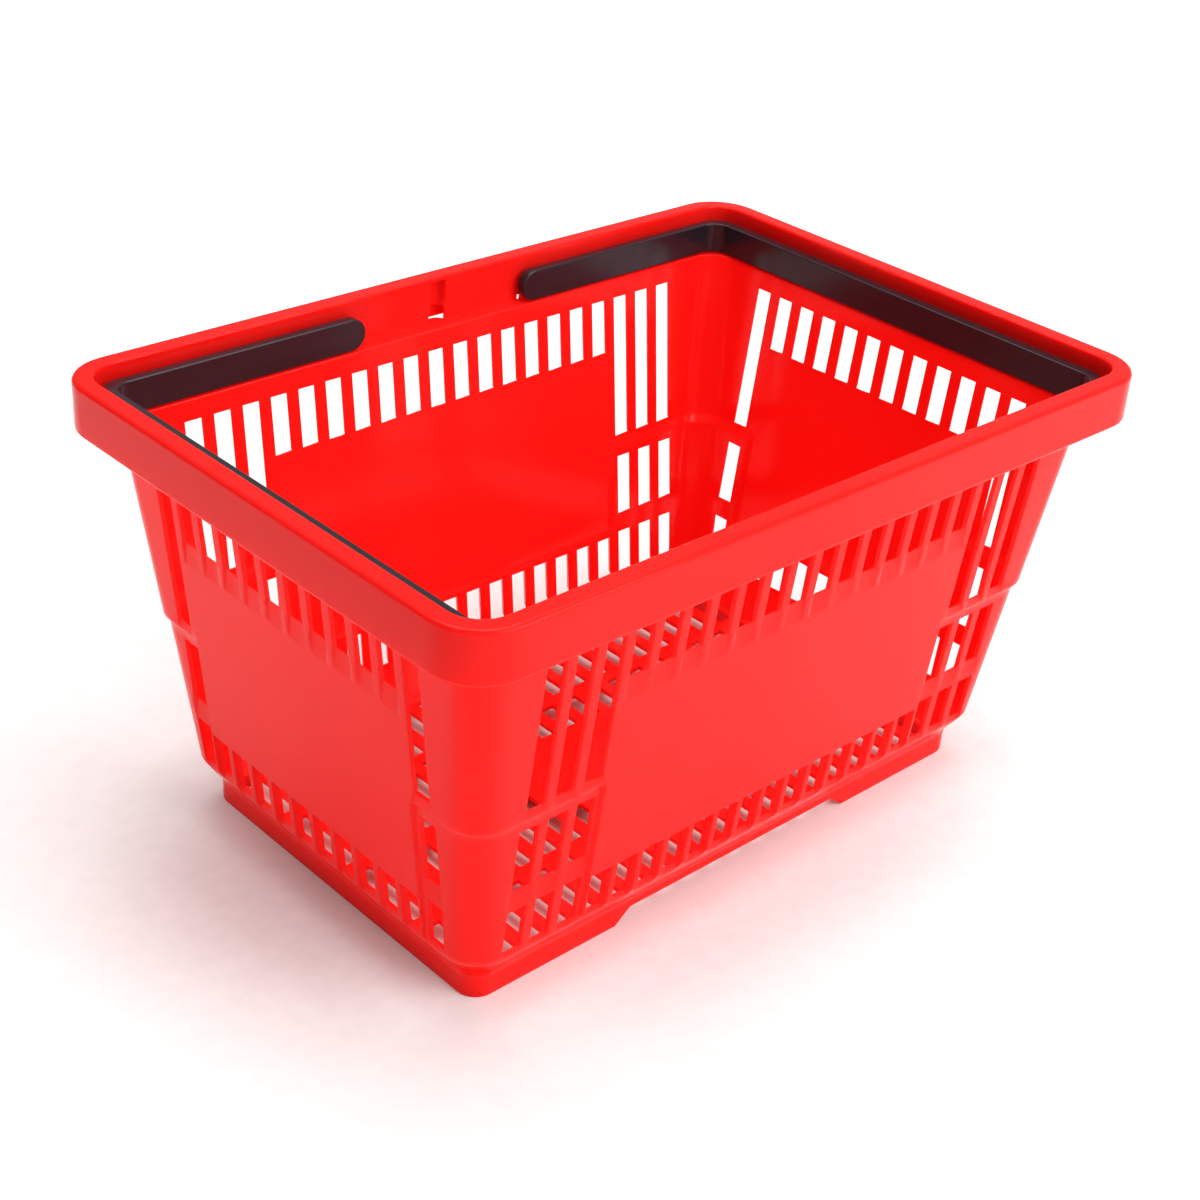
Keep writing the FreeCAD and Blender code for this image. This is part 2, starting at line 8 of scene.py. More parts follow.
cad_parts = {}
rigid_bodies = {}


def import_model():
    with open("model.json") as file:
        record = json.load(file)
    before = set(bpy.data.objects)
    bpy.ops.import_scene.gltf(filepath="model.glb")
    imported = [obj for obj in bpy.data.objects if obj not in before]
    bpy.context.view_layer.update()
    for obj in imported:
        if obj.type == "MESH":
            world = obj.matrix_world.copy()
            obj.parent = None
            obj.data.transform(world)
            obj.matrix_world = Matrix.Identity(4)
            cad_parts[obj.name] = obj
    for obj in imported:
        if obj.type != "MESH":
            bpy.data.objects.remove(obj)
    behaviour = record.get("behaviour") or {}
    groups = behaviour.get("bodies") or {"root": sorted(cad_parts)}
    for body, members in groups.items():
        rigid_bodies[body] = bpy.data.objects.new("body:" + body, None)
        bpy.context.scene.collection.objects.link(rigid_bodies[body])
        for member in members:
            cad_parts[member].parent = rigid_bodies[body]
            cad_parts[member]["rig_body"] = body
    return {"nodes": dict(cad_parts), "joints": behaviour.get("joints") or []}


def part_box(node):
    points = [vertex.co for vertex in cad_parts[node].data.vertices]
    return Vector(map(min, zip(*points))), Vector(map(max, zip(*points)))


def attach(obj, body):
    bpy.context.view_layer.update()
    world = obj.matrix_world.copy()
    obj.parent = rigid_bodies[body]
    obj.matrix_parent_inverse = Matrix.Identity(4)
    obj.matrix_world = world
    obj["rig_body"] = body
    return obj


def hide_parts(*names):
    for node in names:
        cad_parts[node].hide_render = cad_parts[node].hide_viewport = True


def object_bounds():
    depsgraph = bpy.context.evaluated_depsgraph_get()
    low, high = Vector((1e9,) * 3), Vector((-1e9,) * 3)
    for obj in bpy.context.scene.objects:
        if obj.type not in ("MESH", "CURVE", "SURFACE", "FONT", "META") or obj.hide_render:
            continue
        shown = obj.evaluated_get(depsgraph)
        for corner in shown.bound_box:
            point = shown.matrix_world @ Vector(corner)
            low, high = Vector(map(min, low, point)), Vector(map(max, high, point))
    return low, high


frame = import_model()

# Shopping basket. The red moulding is one mesh built as a grid: stations run round the basket and
# rows run from the floor up the inside, over the rim and down the outside to the feet. Slots are
# cells left out of the grid. The black handles are the design's own solids.

CAD_LOW, CAD_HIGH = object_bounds()
MM = 0.001

# --- sizes in millimetres, read from the frame ------------------------------------------------
HALF_L = CAD_HIGH.x / MM
HALF_W = CAD_HIGH.y / MM
TOP = CAD_HIGH.z / MM
BAND_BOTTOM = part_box("rim_front")[0].z / MM
LEDGE_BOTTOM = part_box("ledge_left")[0].z / MM
LEDGE_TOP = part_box("ledge_left")[1].z / MM
FLOOR_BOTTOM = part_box("floor_grid")[0].z / MM
FLOOR_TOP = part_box("floor_grid")[1].z / MM
FLOOR_HALF_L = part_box("floor_grid")[1].x / MM
FLOOR_HALF_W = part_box("floor_grid")[1].y / MM
BASE_HALF_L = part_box("foot_right_end")[1].x / MM
BASE_HALF_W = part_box("foot_right_back")[1].y / MM
FOOT_W = BASE_HALF_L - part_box("foot_right_end")[0].x / MM
LEG_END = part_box("foot_right_back")[0].x / MM
CHAMFER_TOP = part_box("front_wall")[0].z / MM
PIVOT_X = abs(frame["joints"][0]["pos_m"][0]) / MM
PIVOT_Z = frame["joints"][0]["pos_m"][2] / MM

# --- sizes in millimetres, the same as the design's -------------------------------------------
WALL_T = 2.2
TAPER = 0.112
INNER_HALF_W = 145.2
LONGER_BY = 73.4            # the inside is this much longer than wide, from its centre
INNER_CORNER_R = 17.8
STEP_IN = 1.9
STEP_OUTER = (117.5, 121.0)
STEP_INNER = (119.5, 123.5)
BASE_CORNER_R = 12.0
FLOOR_CORNER_R = 9.4
BASE_BAND_TOP = 13.8
LEG_SLOPE = 10.2            # length of the sloping end of a foot
LEG_BEND = 0.9              # share of that length at which the bend above it begins
RIM_CORNER_R = 28.5
RIM_TOP_W = 11.2
RIM_SKIN = 2.4
RIM_INNER_SKIN = 2.2
RIM_OUTER_R = 2.6
RIM_INNER_R = 1.4
BAND_EDGE_R = 2.2
LEDGE_EDGE_R = 1.0
LEDGE_KNEE = 0.3            # share of the ledge's edge radius at the bend halfway round it
RIB_T = 1.8
RIB_BOTTOM = 238.0
LONG_RIBS = (-189.4, -144.3, -99.2, -36.1, 36.1, 99.2, 144.3, 189.4)
SHORT_RIBS = (-117.3, -72.2, -27.1, 27.1, 72.2, 117.3)
GROOVE_R = 6.0
GROOVE_TOP = 250.6
GROOVE_BACK_BOTTOM = 234.7
PITCH = 18.04
LONG_COLUMNS = 20
SHORT_COLUMNS = 12
LONG_OUTER = 3
SHORT_OUTER = 1
SLOT_HALF = 5.0
SLOT_FLARE = 0.5
SLOT_LAND = 0.9
TOP_ROW = (181.8, 215.3)
TALL_ROW = (125.7, 215.3)
MID_ROW = (73.8, 112.7)
LOW_ROW = (33.3, 61.1)
PANEL_LOW_ROW = (33.3, 59.2)
SLOT_ROWS = (TOP_ROW, TALL_ROW, MID_ROW, LOW_ROW, PANEL_LOW_ROW)
PANEL_BOTTOM_INNER = 64.2
PANEL_MARGIN_LONG = 11.0    # from the centre of the last panel column to the panel's side
PANEL_MARGIN_SHORT = 9.4
PANEL_HALF_LONG = (LONG_COLUMNS / 2.0 - LONG_OUTER - 0.5) * PITCH + PANEL_MARGIN_LONG
PANEL_HALF_SHORT = (SHORT_COLUMNS / 2.0 - SHORT_OUTER - 0.5) * PITCH + PANEL_MARGIN_SHORT
PANEL_BEVEL = 2.5
BAR_PITCH = 58.0
BAR_HALF = 4.0
FLOOR_SLOT_END = 104.2
PLATE_HALF_L = 54.1
PLATE_HALF_W = 31.0
HOLE_R = 4.08
NOTCH_X = 62.0
NOTCH_W = 2.6
NOTCH_H = 2.4

# --- details that only the looks need, in millimetres -----------------------------------------
LIP = 0.8                   # sloping side of the relief under a slot
RELIEF_FADE = (WALL_T - SLOT_LAND) / TAPER      # the relief meets the wall this far below a slot
RELIEF_DROP = 1.2 * RELIEF_FADE                 # and is followed down to here
SUPPORT_GAP = 1.2           # a row below the relief keeps the plain wall's shading flat
ABOVE_PANEL_FOOT = 0.1      # rows just above two bends of the outside
ABOVE_CHAMFER = 0.6
GROOVE_ROOF = 0.5           # height in which the groove closes at its top
CHANNEL_EDGE = 0.2          # slope at the lower edge of the rim's channel
CHAMFER_ROWS = (CHAMFER_TOP - 1.5, CHAMFER_TOP - 5.0, BASE_BAND_TOP + 2.4)
BASE_ROLL = ((-0.55, 1.0), (-0.12, -0.6), (0.0, -2.4))     # inset, height from the band's top
BAND_FOOT = 1.2             # lowest plain row of the base band, above the floor's underside
FOOT_ROLL = ((0.0, 1.1), (0.35, 0.35), (1.1, 0.0))         # inset, height from the lower edge
QUARTER = 8                 # segments in a quarter turn of the body's corners
GROOVE_ANGLES = (22.5, 45.0, 67.5, 90.0)
MERGE_GAP = 0.3             # stations and rows closer than this are merged
SNAP = 0.01                 # places closer than this are the same
EDGE_R = 0.4
RIB_EDGE_R = 0.25
SHARP_ANGLE = 60.0          # edges that turn by more degrees than this are rounded
RIB_OVERLAP = 0.3           # how far a rib runs into the skin around it
CUT_PAST = 1.0              # how far a cutter passes through the skin
ROD_SIDES = 32
GROUND_HALF = 60000.0

# --- camera, in metres and degrees ------------------------------------------------------------
CAMERA_PLACE = (-0.7028, -0.70708, 0.69137)
CAMERA_YAW = -44.605        # 0 looks along +Y
CAMERA_PITCH = 30.087       # looking down
CAMERA_ROLL = 4.05
CAMERA_LENS = 62.168        # in millimetres, on a sensor 36 mm wide


# --- materials --------------------------------------------------------------------------------
class Nodes:
    """Small helper that adds and links shader nodes."""

    def __init__(self, name):
        self.material = bpy.data.materials.new(name)
        self.material.use_nodes = True
        self.tree = self.material.node_tree
        self.shader = self.tree.nodes["Principled BSDF"]

    def add(self, kind, **values):
        node = self.tree.nodes.new(kind)
        for key, value in values.items():
            if key in node.inputs:
                node.inputs[key].default_value = value
            else:
                setattr(node, key, value)
        return node

    def link(self, source, target):
        self.tree.links.new(source, target)

    def noise(self, scale, detail=3.0, stretch=None):
        coord = self.add("ShaderNodeTexCoord")
        noise = self.add("ShaderNodeTexNoise", Scale=scale, Detail=detail)
        if stretch:
            mapping = self.add("ShaderNodeMapping")
            mapping.inputs["Scale"].default_value = stretch
            self.link(coord.outputs["Object"], mapping.inputs["Vector"])
            self.link(mapping.outputs["Vector"], noise.inputs["Vector"])
        else:
            self.link(coord.outputs["Object"], noise.inputs["Vector"])
        return noise.outputs["Fac"]

    def ramp(self, factor, stops):
        ramp = self.add("ShaderNodeValToRGB")
        elements = ramp.color_ramp.elements
        while len(elements) < len(stops):
            elements.new(0.5)
        for element, (position, colour) in zip(elements, stops):
            element.position = position
            element.color = colour
        self.link(factor, ramp.inputs["Fac"])
        return ramp.outputs["Color"]

    def range(self, factor, low, high):
        mapped = self.add("ShaderNodeMapRange")
        mapped.inputs["To Min"].default_value = low
        mapped.inputs["To Max"].default_value = high
        self.link(factor, mapped.inputs["Value"])
        return mapped.outputs["Result"]

    def bump(self, heights):
        """Stack of (height socket, strength, distance in metres)."""
        normal = None
        for height, strength, distance in heights:
            bump = self.add("ShaderNodeBump", Strength=strength, Distance=distance)
            self.link(height, bump.inputs["Height"])
            if normal:
                self.link(normal, bump.inputs["Normal"])
            normal = bump.outputs["Normal"]
        self.link(normal, self.shader.inputs["Normal"])


def red_plastic():
    """Glossy moulded polypropylene: slight flow shading, faint scuffs, a little light inside."""
    m = Nodes("red_polypropylene")
    flow = m.noise(9.0, 2.0, (1.0, 1.0, 0.35))
    m.link(m.ramp(flow, [(0.3, (0.93, 0.008, 0.006, 1)), (0.7, (1.0, 0.012, 0.009, 1))]),
           m.shader.inputs["Base Color"])
    m.link(m.range(m.noise(55.0, 4.0), 0.08, 0.20), m.shader.inputs["Roughness"])
    m.bump([(m.noise(14.0, 1.0), 0.12, 0.0006), (m.noise(420.0, 2.0), 0.05, 0.0001)])
    m.shader.inputs["IOR"].default_value = 1.30
    m.shader.inputs["Specular IOR Level"].default_value = 0.25
    m.shader.inputs["Subsurface Weight"].default_value = 0.6
    m.shader.inputs["Subsurface Radius"].default_value = (0.012, 0.0008, 0.0005)
    m.shader.inputs["Subsurface Scale"].default_value = 1.0
    return m.material


def black_plastic():
    """Darker, slightly duller moulding with long flow lines."""
    m = Nodes("black_polypropylene")
    flow = m.noise(22.0, 3.0, (0.5, 0.5, 3.0))
    m.link(m.ramp(flow, [(0.35, (0.012, 0.010, 0.014, 1)), (0.7, (0.017, 0.014, 0.019, 1))]),
           m.shader.inputs["Base Color"])
    m.link(m.range(m.noise(70.0, 2.0), 0.17, 0.24), m.shader.inputs["Roughness"])
    m.bump([(flow, 0.05, 0.0003), (m.noise(500.0, 2.0), 0.02, 0.0001)])
    m.shader.inputs["IOR"].default_value = 1.49
    m.shader.inputs["Specular IOR Level"].default_value = 0.36
    return m.material


def pale_ground():
    """Pale floor with painted light: no emission under the basket, which reads as painted shade there,
    and an emitted painted glow that makes it white around it and glowing softly far away.
    """
    m = Nodes("pale_ground")
    m.link(m.ramp(m.noise(90.0, 8.0), [(0.3, (0.75, 0.745, 0.74, 1)), (0.7, (0.80, 0.795, 0.79, 1))]),
           m.shader.inputs["Base Color"])
    m.shader.inputs["Roughness"].default_value = 0.85
    # colour of the painted glow that the floor emits around the basket
    m.shader.inputs["Emission Color"].default_value = (1.0, 0.99, 0.98, 1)
    coord = m.add("ShaderNodeTexCoord")
    squashed = m.add("ShaderNodeMapping")
    squashed.inputs["Scale"].default_value = (0.6, 1.0, 1.0)
    distance = m.add("ShaderNodeVectorMath", operation="LENGTH")
    m.link(coord.outputs["Object"], squashed.inputs["Vector"])
    m.link(squashed.outputs["Vector"], distance.inputs[0])
    # painted glow: emission strength rises with distance from the basket and is zero under it, as
    # painted shade
    painted_glow = [(place, (strength, strength, strength, 1))
            for place, strength in ((0.09, 0.0), (0.20, 0.22), (0.45, 0.27), (1.0, 0.75))]
    m.link(m.ramp(distance.outputs["Value"], painted_glow), m.shader.inputs["Emission Strength"])
    m.bump([(m.noise(180.0, 4.0), 0.04, 0.0003)])
    return m.material


# --- moulding: outlines -----------------------------------------------------------------------
SIDE_AXES = {               # direction along each side, and the direction it faces
    "front": ((1, 0), (0, -1)), "right": ((0, 1), (1, 0)),
    "back": ((-1, 0), (0, 1)), "left": ((0, -1), (-1, 0)),
}
CORNER_SIGNS = {
    "front_right": (1, -1), "back_right": (1, 1), "back_left": (-1, 1), "front_left": (-1, -1),
}
LONG_SIDES = ("front", "back")


def inner_wall(z, lower):
    """Distance from the centre plane to the inside of a long wall; lower is 1 below the step."""
    return INNER_HALF_W - TAPER * (LEDGE_TOP - z) - STEP_IN * lower


def fade(value, low, high):
    """0 at low, 1 at high, straight between."""
    return min(1.0, max(0.0, (value - low) / (high - low)))


# how far the sloping base skin leans out for each millimetre of height, and the height at which
# a panel's outside runs into it
RISE = (inner_wall(CHAMFER_TOP, 1.0) + WALL_T - BASE_HALF_W) / (CHAMFER_TOP - BASE_BAND_TOP)
PANEL_FOOT = CHAMFER_TOP + STEP_IN / (RISE - TAPER)


def nearest_column(t, columns):
    """Slot column nearest to a place on a wall, and the distance from its centre."""
    place = t / PITCH + (columns - 1) / 2.0
    column = min(columns - 1, max(0, round(place)))
    return column, (place - column) * PITCH


class Station:
    """One upright line of the moulding's grid, on a straight wall or on a corner."""

    def __init__(self, side, t=0.0, turn=None, columns=0, outer=0, panel=0.0):
        self.side = side
        self.t = t
        self.turn = turn
        self.columns = columns
        self.outer = outer
        self.panel_out = 0.0
        self.panel_in = 0.0
        self.slot = None
        self.draft = 0.0
        if turn is None:
            self.panel_out = 1.0 - fade(abs(t), panel - PANEL_BEVEL, panel)
            self.panel_in = 1.0 - fade(abs(t), panel - 2.0 * PANEL_BEVEL, panel - PANEL_BEVEL)
            self.find_slot()

    def find_slot(self):
        """The slot this line belongs to, and how much of its outward flare moves the line."""
        column, away = nearest_column(self.t, self.columns)
        if abs(away) <= SLOT_HALF + SNAP:
            self.slot = column
            self.draft = away / SLOT_HALF
        else:
            share = 1.0 - fade(abs(away), SLOT_HALF + LIP, PITCH / 2.0)
            self.draft = math.copysign(share, away)

    def slot_rows(self, column):
        at_end = column < self.outer or column >= self.columns - self.outer
        return (TALL_ROW, MID_ROW, LOW_ROW) if at_end else (TOP_ROW, PANEL_LOW_ROW)

    def groove(self):
        """Depth of the upright half-round groove in the inner face of the long rims."""
        if self.turn is None and self.side in LONG_SIDES and abs(self.t) < GROOVE_R:
            return math.sqrt(GROOVE_R ** 2 - self.t ** 2)
        return 0.0

    def foot(self):
        """1 where the foot stands, 0 between the feet."""
        if self.turn is None and self.side in LONG_SIDES:
            return fade(abs(self.t), LEG_END, LEG_END + LEG_SLOPE)
        return 1.0

    def place(self, half_l, half_w, radius, z, shift=0.0):
        """Point of the outline; shift moves it along a straight wall."""
        if self.turn is not None:
            sx, sy = CORNER_SIGNS[self.side]
            angle = self.turn * math.pi / 2.0
            return Vector((sx * (half_l - radius + radius * math.cos(angle)),
                           sy * (half_w - radius + radius * math.sin(angle)), z))
        along, out = (half_l, half_w) if self.side in LONG_SIDES else (half_w, half_l)
        limit = along - radius
        t = min(limit, max(-limit, self.t + shift))
        d, n = SIDE_AXES[self.side]
        return Vector((d[0] * t + n[0] * out, d[1] * t + n[1] * out, z))


def merged(places):
    """Sorted values; a value close to an earlier one in the list is dropped."""
    kept = []
    for value in places:
        if all(abs(value - k) > MERGE_GAP for k in kept):
            kept.append(value)
    return sorted(kept)


def straight_stations(side):
    is_long = side in LONG_SIDES
    columns = LONG_COLUMNS if is_long else SHORT_COLUMNS
    outer = LONG_OUTER if is_long else SHORT_OUTER
    panel = PANEL_HALF_LONG if is_long else PANEL_HALF_SHORT
    places = [0.0]
    for column in range(columns):
        centre = (column - (columns - 1) / 2.0) * PITCH
        places += [centre + sign * away for sign in (-1, 1) for away in (SLOT_HALF, SLOT_HALF + LIP)]
    extra = [panel, panel - PANEL_BEVEL, panel - 2.0 * PANEL_BEVEL]
    if is_long:
        extra += [GROOVE_R * math.sin(math.radians(angle)) for angle in GROOVE_ANGLES]
        extra += [LEG_END, LEG_END + LEG_BEND * LEG_SLOPE, LEG_END + LEG_SLOPE, PLATE_HALF_L]
    else:
        extra += [BAR_HALF, PLATE_HALF_W, BAR_PITCH - BAR_HALF, BAR_PITCH + BAR_HALF]
    places += [sign * place for place in extra for sign in (-1, 1)]
    return [Station(side, t, None, columns, outer, panel) for t in merged(places)]


def corner_stations(side):
    sx, sy = CORNER_SIGNS[side]
    turns = [i / QUARTER for i in range(QUARTER + 1)]
    if sx * sy < 0:
        turns.reverse()
    return [Station(side, turn=turn) for turn in turns]


def loop_stations():
    """All stations, once round the basket."""
    stations = []
    for straight, corner in (("front", "front_right"), ("right", "back_right"),
                             ("back", "back_left"), ("left", "front_left")):
        stations += straight_stations(straight)
        stations += corner_stations(corner)
    return stations


# --- moulding: rows of the grid ---------------------------------------------------------------
# A row is a function that gives the row's point on a station. Rows that go round the section
# are made by inner_face, ledge_edge, rim, rim_arc, outer_face, base and foot_row.
def wall_heights():
    """Heights shared by the inner and the outer face, so that slots can be cut between them."""
    heights = [z for low, high in SLOT_ROWS for z in (low, low + LIP, high)]
    heights += [STEP_INNER[0], STEP_INNER[1], STEP_OUTER[0], STEP_OUTER[1]]
    heights += [PANEL_BOTTOM_INNER, PANEL_BOTTOM_INNER - STEP_IN]
    heights += [PANEL_FOOT + ABOVE_PANEL_FOOT, CHAMFER_TOP + ABOVE_CHAMFER]
    for low in (TOP_ROW[0], MID_ROW[0]):
        heights += [low - RELIEF_FADE, low - RELIEF_FADE - SUPPORT_GAP]
    return merged(heights)


def inner_face(z):
    def point(s):
        lower = 1.0 - fade(z, *STEP_INNER)
        in_panel = s.panel_in * fade(z, PANEL_BOTTOM_INNER - STEP_IN, PANEL_BOTTOM_INNER)
        half = inner_wall(z, min(lower, 1.0 - in_panel))
        return s.place(half + LONGER_BY, half, INNER_CORNER_R, z)
    return point


def outer_half(s, z):
    """Distance from the centre plane to the outside of a long wall, with the relief under slots."""
    lower = min(1.0 - fade(z, *STEP_OUTER), 1.0 - s.panel_out)
    half = min(inner_wall(z, lower) + WALL_T, BASE_HALF_W + RISE * (z - BASE_BAND_TOP))
    if s.slot is not None:
        for low, _ in s.slot_rows(s.slot):
            if low - RELIEF_DROP < z <= low + SNAP:
                below_step = 0.0 if low > STEP_INNER[1] else 1.0
                half = min(half, inner_wall(low, below_step) + SLOT_LAND)
    return half


def outer_face(z):
    def point(s):
        half = outer_half(s, z)
        depth = half - inner_wall(z, 1.0 - fade(z, *STEP_INNER))
        shift = s.draft * SLOT_FLARE * max(WALL_T, depth)
        return s.place(half + LONGER_BY, half, INNER_CORNER_R + WALL_T, z, shift)
    return point


def rim(inset, z, grooved=False, behind=False):
    """Row of the rim at a distance in from the outer face. A grooved row follows the groove;
    behind the inner skin, the groove's own skin ends at GROOVE_BACK_BOTTOM."""
    def point(s):
        depth = s.groove() if grooved else 0.0
        if behind and z < GROOVE_BACK_BOTTOM:
            depth = max(0.0, depth - RIM_INNER_SKIN)
        return s.place(HALF_L - inset + depth, HALF_W - inset + depth, RIM_CORNER_R - inset, z)
    return point


def rim_arc(centre_inset, centre_z, radius, start, stop, steps):
    """Rim rows on an arc in the section plane; 0 points in, 90 up and 180 out."""
    rows = []
    for i in range(steps + 1):
        angle = math.radians(start + (stop - start) * i / steps)
        rows.append(rim(centre_inset + radius * math.cos(angle), centre_z + radius * math.sin(angle)))
    return rows


def ledge_edge(rise, out):
    """Row of the ledge's rounded inner edge; rise and out are shares of its radius."""
    def point(s):
        z = LEDGE_TOP - LEDGE_EDGE_R
        half = inner_wall(z, 0.0) + out * LEDGE_EDGE_R
        return s.place(half + LONGER_BY, half, INNER_CORNER_R, z + rise * LEDGE_EDGE_R)
    return point


def base(inset, z):
    def point(s):
        return s.place(BASE_HALF_L - inset, BASE_HALF_W - inset, BASE_CORNER_R - inset, z)
    return point


def foot_row(inset, rise):
    """Row at the bottom of the base band: on the ground under a foot, higher between the feet."""
    def point(s):
        z = FLOOR_BOTTOM * (1.0 - s.foot()) + rise
        return s.place(BASE_HALF_L - inset, BASE_HALF_W - inset, BASE_CORNER_R - inset, z)
    return point


def profile():
    """All rows, the wall heights, and the numbers of the first rows of the inner wall, the outer
    wall and the two faces that the groove's drain opening joins."""
    heights = wall_heights()
    first = {}
    rows = [lambda s: s.place(FLOOR_HALF_L, FLOOR_HALF_W, FLOOR_CORNER_R, FLOOR_TOP)]
    first["inner"] = len(rows)
    rows += [inner_face(z) for z in heights]
    rows += [ledge_edge(0.0, 0.0), ledge_edge(1.0 - LEDGE_KNEE, LEDGE_KNEE), ledge_edge(1.0, 1.0)]
    first["drain_in"] = len(rows)
    rows += [rim(RIM_TOP_W, z, True) for z in (LEDGE_TOP, GROOVE_BACK_BOTTOM, GROOVE_TOP)]
    rows += [rim(RIM_TOP_W, GROOVE_TOP + GROOVE_ROOF)]
    rows += rim_arc(RIM_TOP_W - RIM_INNER_R, TOP - RIM_INNER_R, RIM_INNER_R, 0, 90, 4)
    rows += rim_arc(RIM_OUTER_R, TOP - RIM_OUTER_R, RIM_OUTER_R, 90, 180, 5)
    rows += rim_arc(BAND_EDGE_R, BAND_BOTTOM + BAND_EDGE_R, BAND_EDGE_R, 180, 270, 4)
    channel_top = TOP - RIM_SKIN
    skin_back = RIM_TOP_W - RIM_INNER_SKIN
    rows += [rim(RIM_SKIN + CHANNEL_EDGE, BAND_BOTTOM + CHANNEL_EDGE), rim(RIM_SKIN, channel_top)]
    rows += [rim(skin_back, channel_top), rim(skin_back, GROOVE_TOP, True, True)]
    first["drain_out"] = len(rows)
    rows += [rim(skin_back, z, True, True) for z in (GROOVE_BACK_BOTTOM, LEDGE_TOP, LEDGE_BOTTOM)]
    rows += [outer_face(LEDGE_BOTTOM)]
    first["outer"] = len(rows)
    rows += [outer_face(z) for z in reversed(heights)]
    rows += [outer_face(z) for z in CHAMFER_ROWS]
    rows += [base(inset, BASE_BAND_TOP + rise) for inset, rise in BASE_ROLL]
    rows += [base(0.0, FLOOR_BOTTOM + BAND_FOOT)]
    rows += [foot_row(inset, rise) for inset, rise in FOOT_ROLL]
    rows += [foot_row(FOOT_W, 0.0), base(FOOT_W, FLOOR_BOTTOM)]
    return rows, heights, first


# --- moulding: mesh ---------------------------------------------------------------------------
class Builder:
    """Collects faces by position, so that shared corners weld and flat slivers are dropped."""

    def __init__(self):
        self.index = {}
        self.points = []
        self.faces = []

    def vertex(self, p):
        key = (round(p.x, 3), round(p.y, 3), round(p.z, 3))
        if key not in self.index:
            self.index[key] = len(self.points)
            self.points.append(Vector(p))
        return self.index[key]

    def face(self, corners):
        ring = []
        for p in corners:
            v = self.vertex(p)
            if v not in ring:
                ring.append(v)
        if len(ring) > 2:
            self.faces.append(ring)

    def mesh(self, name):
        mesh = bpy.data.meshes.new(name)
        mesh.from_pydata([p * MM for p in self.points], [], self.faces)
        mesh.validate()
        return mesh


def slot_between(a, b, z0, z1):
    """True if the cell between two stations and two heights lies in a slot."""
    if a.turn is not None or b.turn is not None or a.side != b.side:
        return False
    column, away = nearest_column((a.t + b.t) / 2.0, a.columns)
    height = (z0 + z1) / 2.0
    return abs(away) <= SLOT_HALF and any(low < height < high for low, high in a.slot_rows(column))


def groove_between(a, b):
    """True if the strip between two stations lies in the groove of a long rim."""
    straight = a.turn is None and a.side == b.side and a.side in LONG_SIDES
    return straight and abs(a.t + b.t) / 2.0 < GROOVE_R


def add_cells(builder, grid, row, holes, partner):
    """Quads between a row and the next one. Holes stay open; where the row has a partner on the
    other face, the edges of the hole are joined to it."""
    count = len(grid[row])
    for j in range(count):
        k = (j + 1) % count
        if (row, j) not in holes:
            builder.face([grid[row][j], grid[row][k], grid[row + 1][k], grid[row + 1][j]])
        elif row in partner:
            for neighbour, (r0, j0), (r1, j1) in (
                    ((row - 1, j), (row, j), (row, k)),
                    ((row + 1, j), (row + 1, j), (row + 1, k)),
                    ((row, (j - 1) % count), (row, j), (row + 1, j)),
                    ((row, k), (row, k), (row + 1, k))):
                if neighbour not in holes:
                    builder.face([grid[r0][j0], grid[r1][j1],
                                  grid[partner[r1]][j1], grid[partner[r0]][j0]])


def floor_lines(stations):
    """The floor's grid lines stand under the stations of one long and one short wall."""
    xs = [s.t for s in stations if s.side == "front"]
    ys = [s.t for s in stations if s.side == "right"]
    return xs, ys


def floor_slot(x0, x1, y0, y1):
    """True if a cell of the floor lies in a slot."""
    column, away = nearest_column((x0 + x1) / 2.0, LONG_COLUMNS)
    y = abs(y0 + y1) / 2.0
    centre = (column - (LONG_COLUMNS - 1) / 2.0) * PITCH
    start = PLATE_HALF_W if abs(centre) < PLATE_HALF_L else BAR_HALF
    in_row = start < y < BAR_PITCH - BAR_HALF or BAR_PITCH + BAR_HALF < y < FLOOR_SLOT_END
    return abs(away) <= SLOT_HALF and in_row


def add_floor(builder, stations, ring, z):
    """One face of the slotted floor, joined to the ring of grid points around it."""
    xs, ys = floor_lines(stations)
    for i in range(len(xs) - 1):
        for j in range(len(ys) - 1):
            if not floor_slot(xs[i], xs[i + 1], ys[j], ys[j + 1]):
                cell = ((i, j), (i + 1, j), (i + 1, j + 1), (i, j + 1))
                builder.face([Vector((xs[a], ys[b], z)) for a, b in cell])
    for j, station in enumerate(stations):
        k = (j + 1) % len(stations)
        after = stations[k]
        if station.turn is None and after.turn is None:
            d, n = SIDE_AXES[station.side]
            inner = [Vector((d[0] * s.t + n[0] * xs[-1], d[1] * s.t + n[1] * ys[-1], z))
                     for s in (after, station)]
        else:
            corner = after if station.turn is None else station
            sx, sy = CORNER_SIGNS[corner.side]
            inner = [Vector((sx * xs[-1], sy * ys[-1], z))]
        builder.face([ring[j], ring[k]] + inner)


def add_floor_sides(builder, stations):
    """Upright faces round the floor's slots."""
    xs, ys = floor_lines(stations)

    def is_slot(i, j):
        inside = 0 <= i < len(xs) - 1 and 0 <= j < len(ys) - 1
        return inside and floor_slot(xs[i], xs[i + 1], ys[j], ys[j + 1])

    for i in range(len(xs) - 1):
        for j in range(len(ys) - 1):
            if not is_slot(i, j):
                continue
            for start, stop, other in (
                    ((i, j), (i + 1, j), (i, j - 1)), ((i, j + 1), (i + 1, j + 1), (i, j + 1)),
                    ((i, j), (i, j + 1), (i - 1, j)), ((i + 1, j), (i + 1, j + 1), (i + 1, j))):
                if not is_slot(*other):
                    corners = ((start, FLOOR_TOP), (stop, FLOOR_TOP),
                               (stop, FLOOR_BOTTOM), (start, FLOOR_BOTTOM))
                    builder.face([Vector((xs[a], ys[b], z)) for (a, b), z in corners])


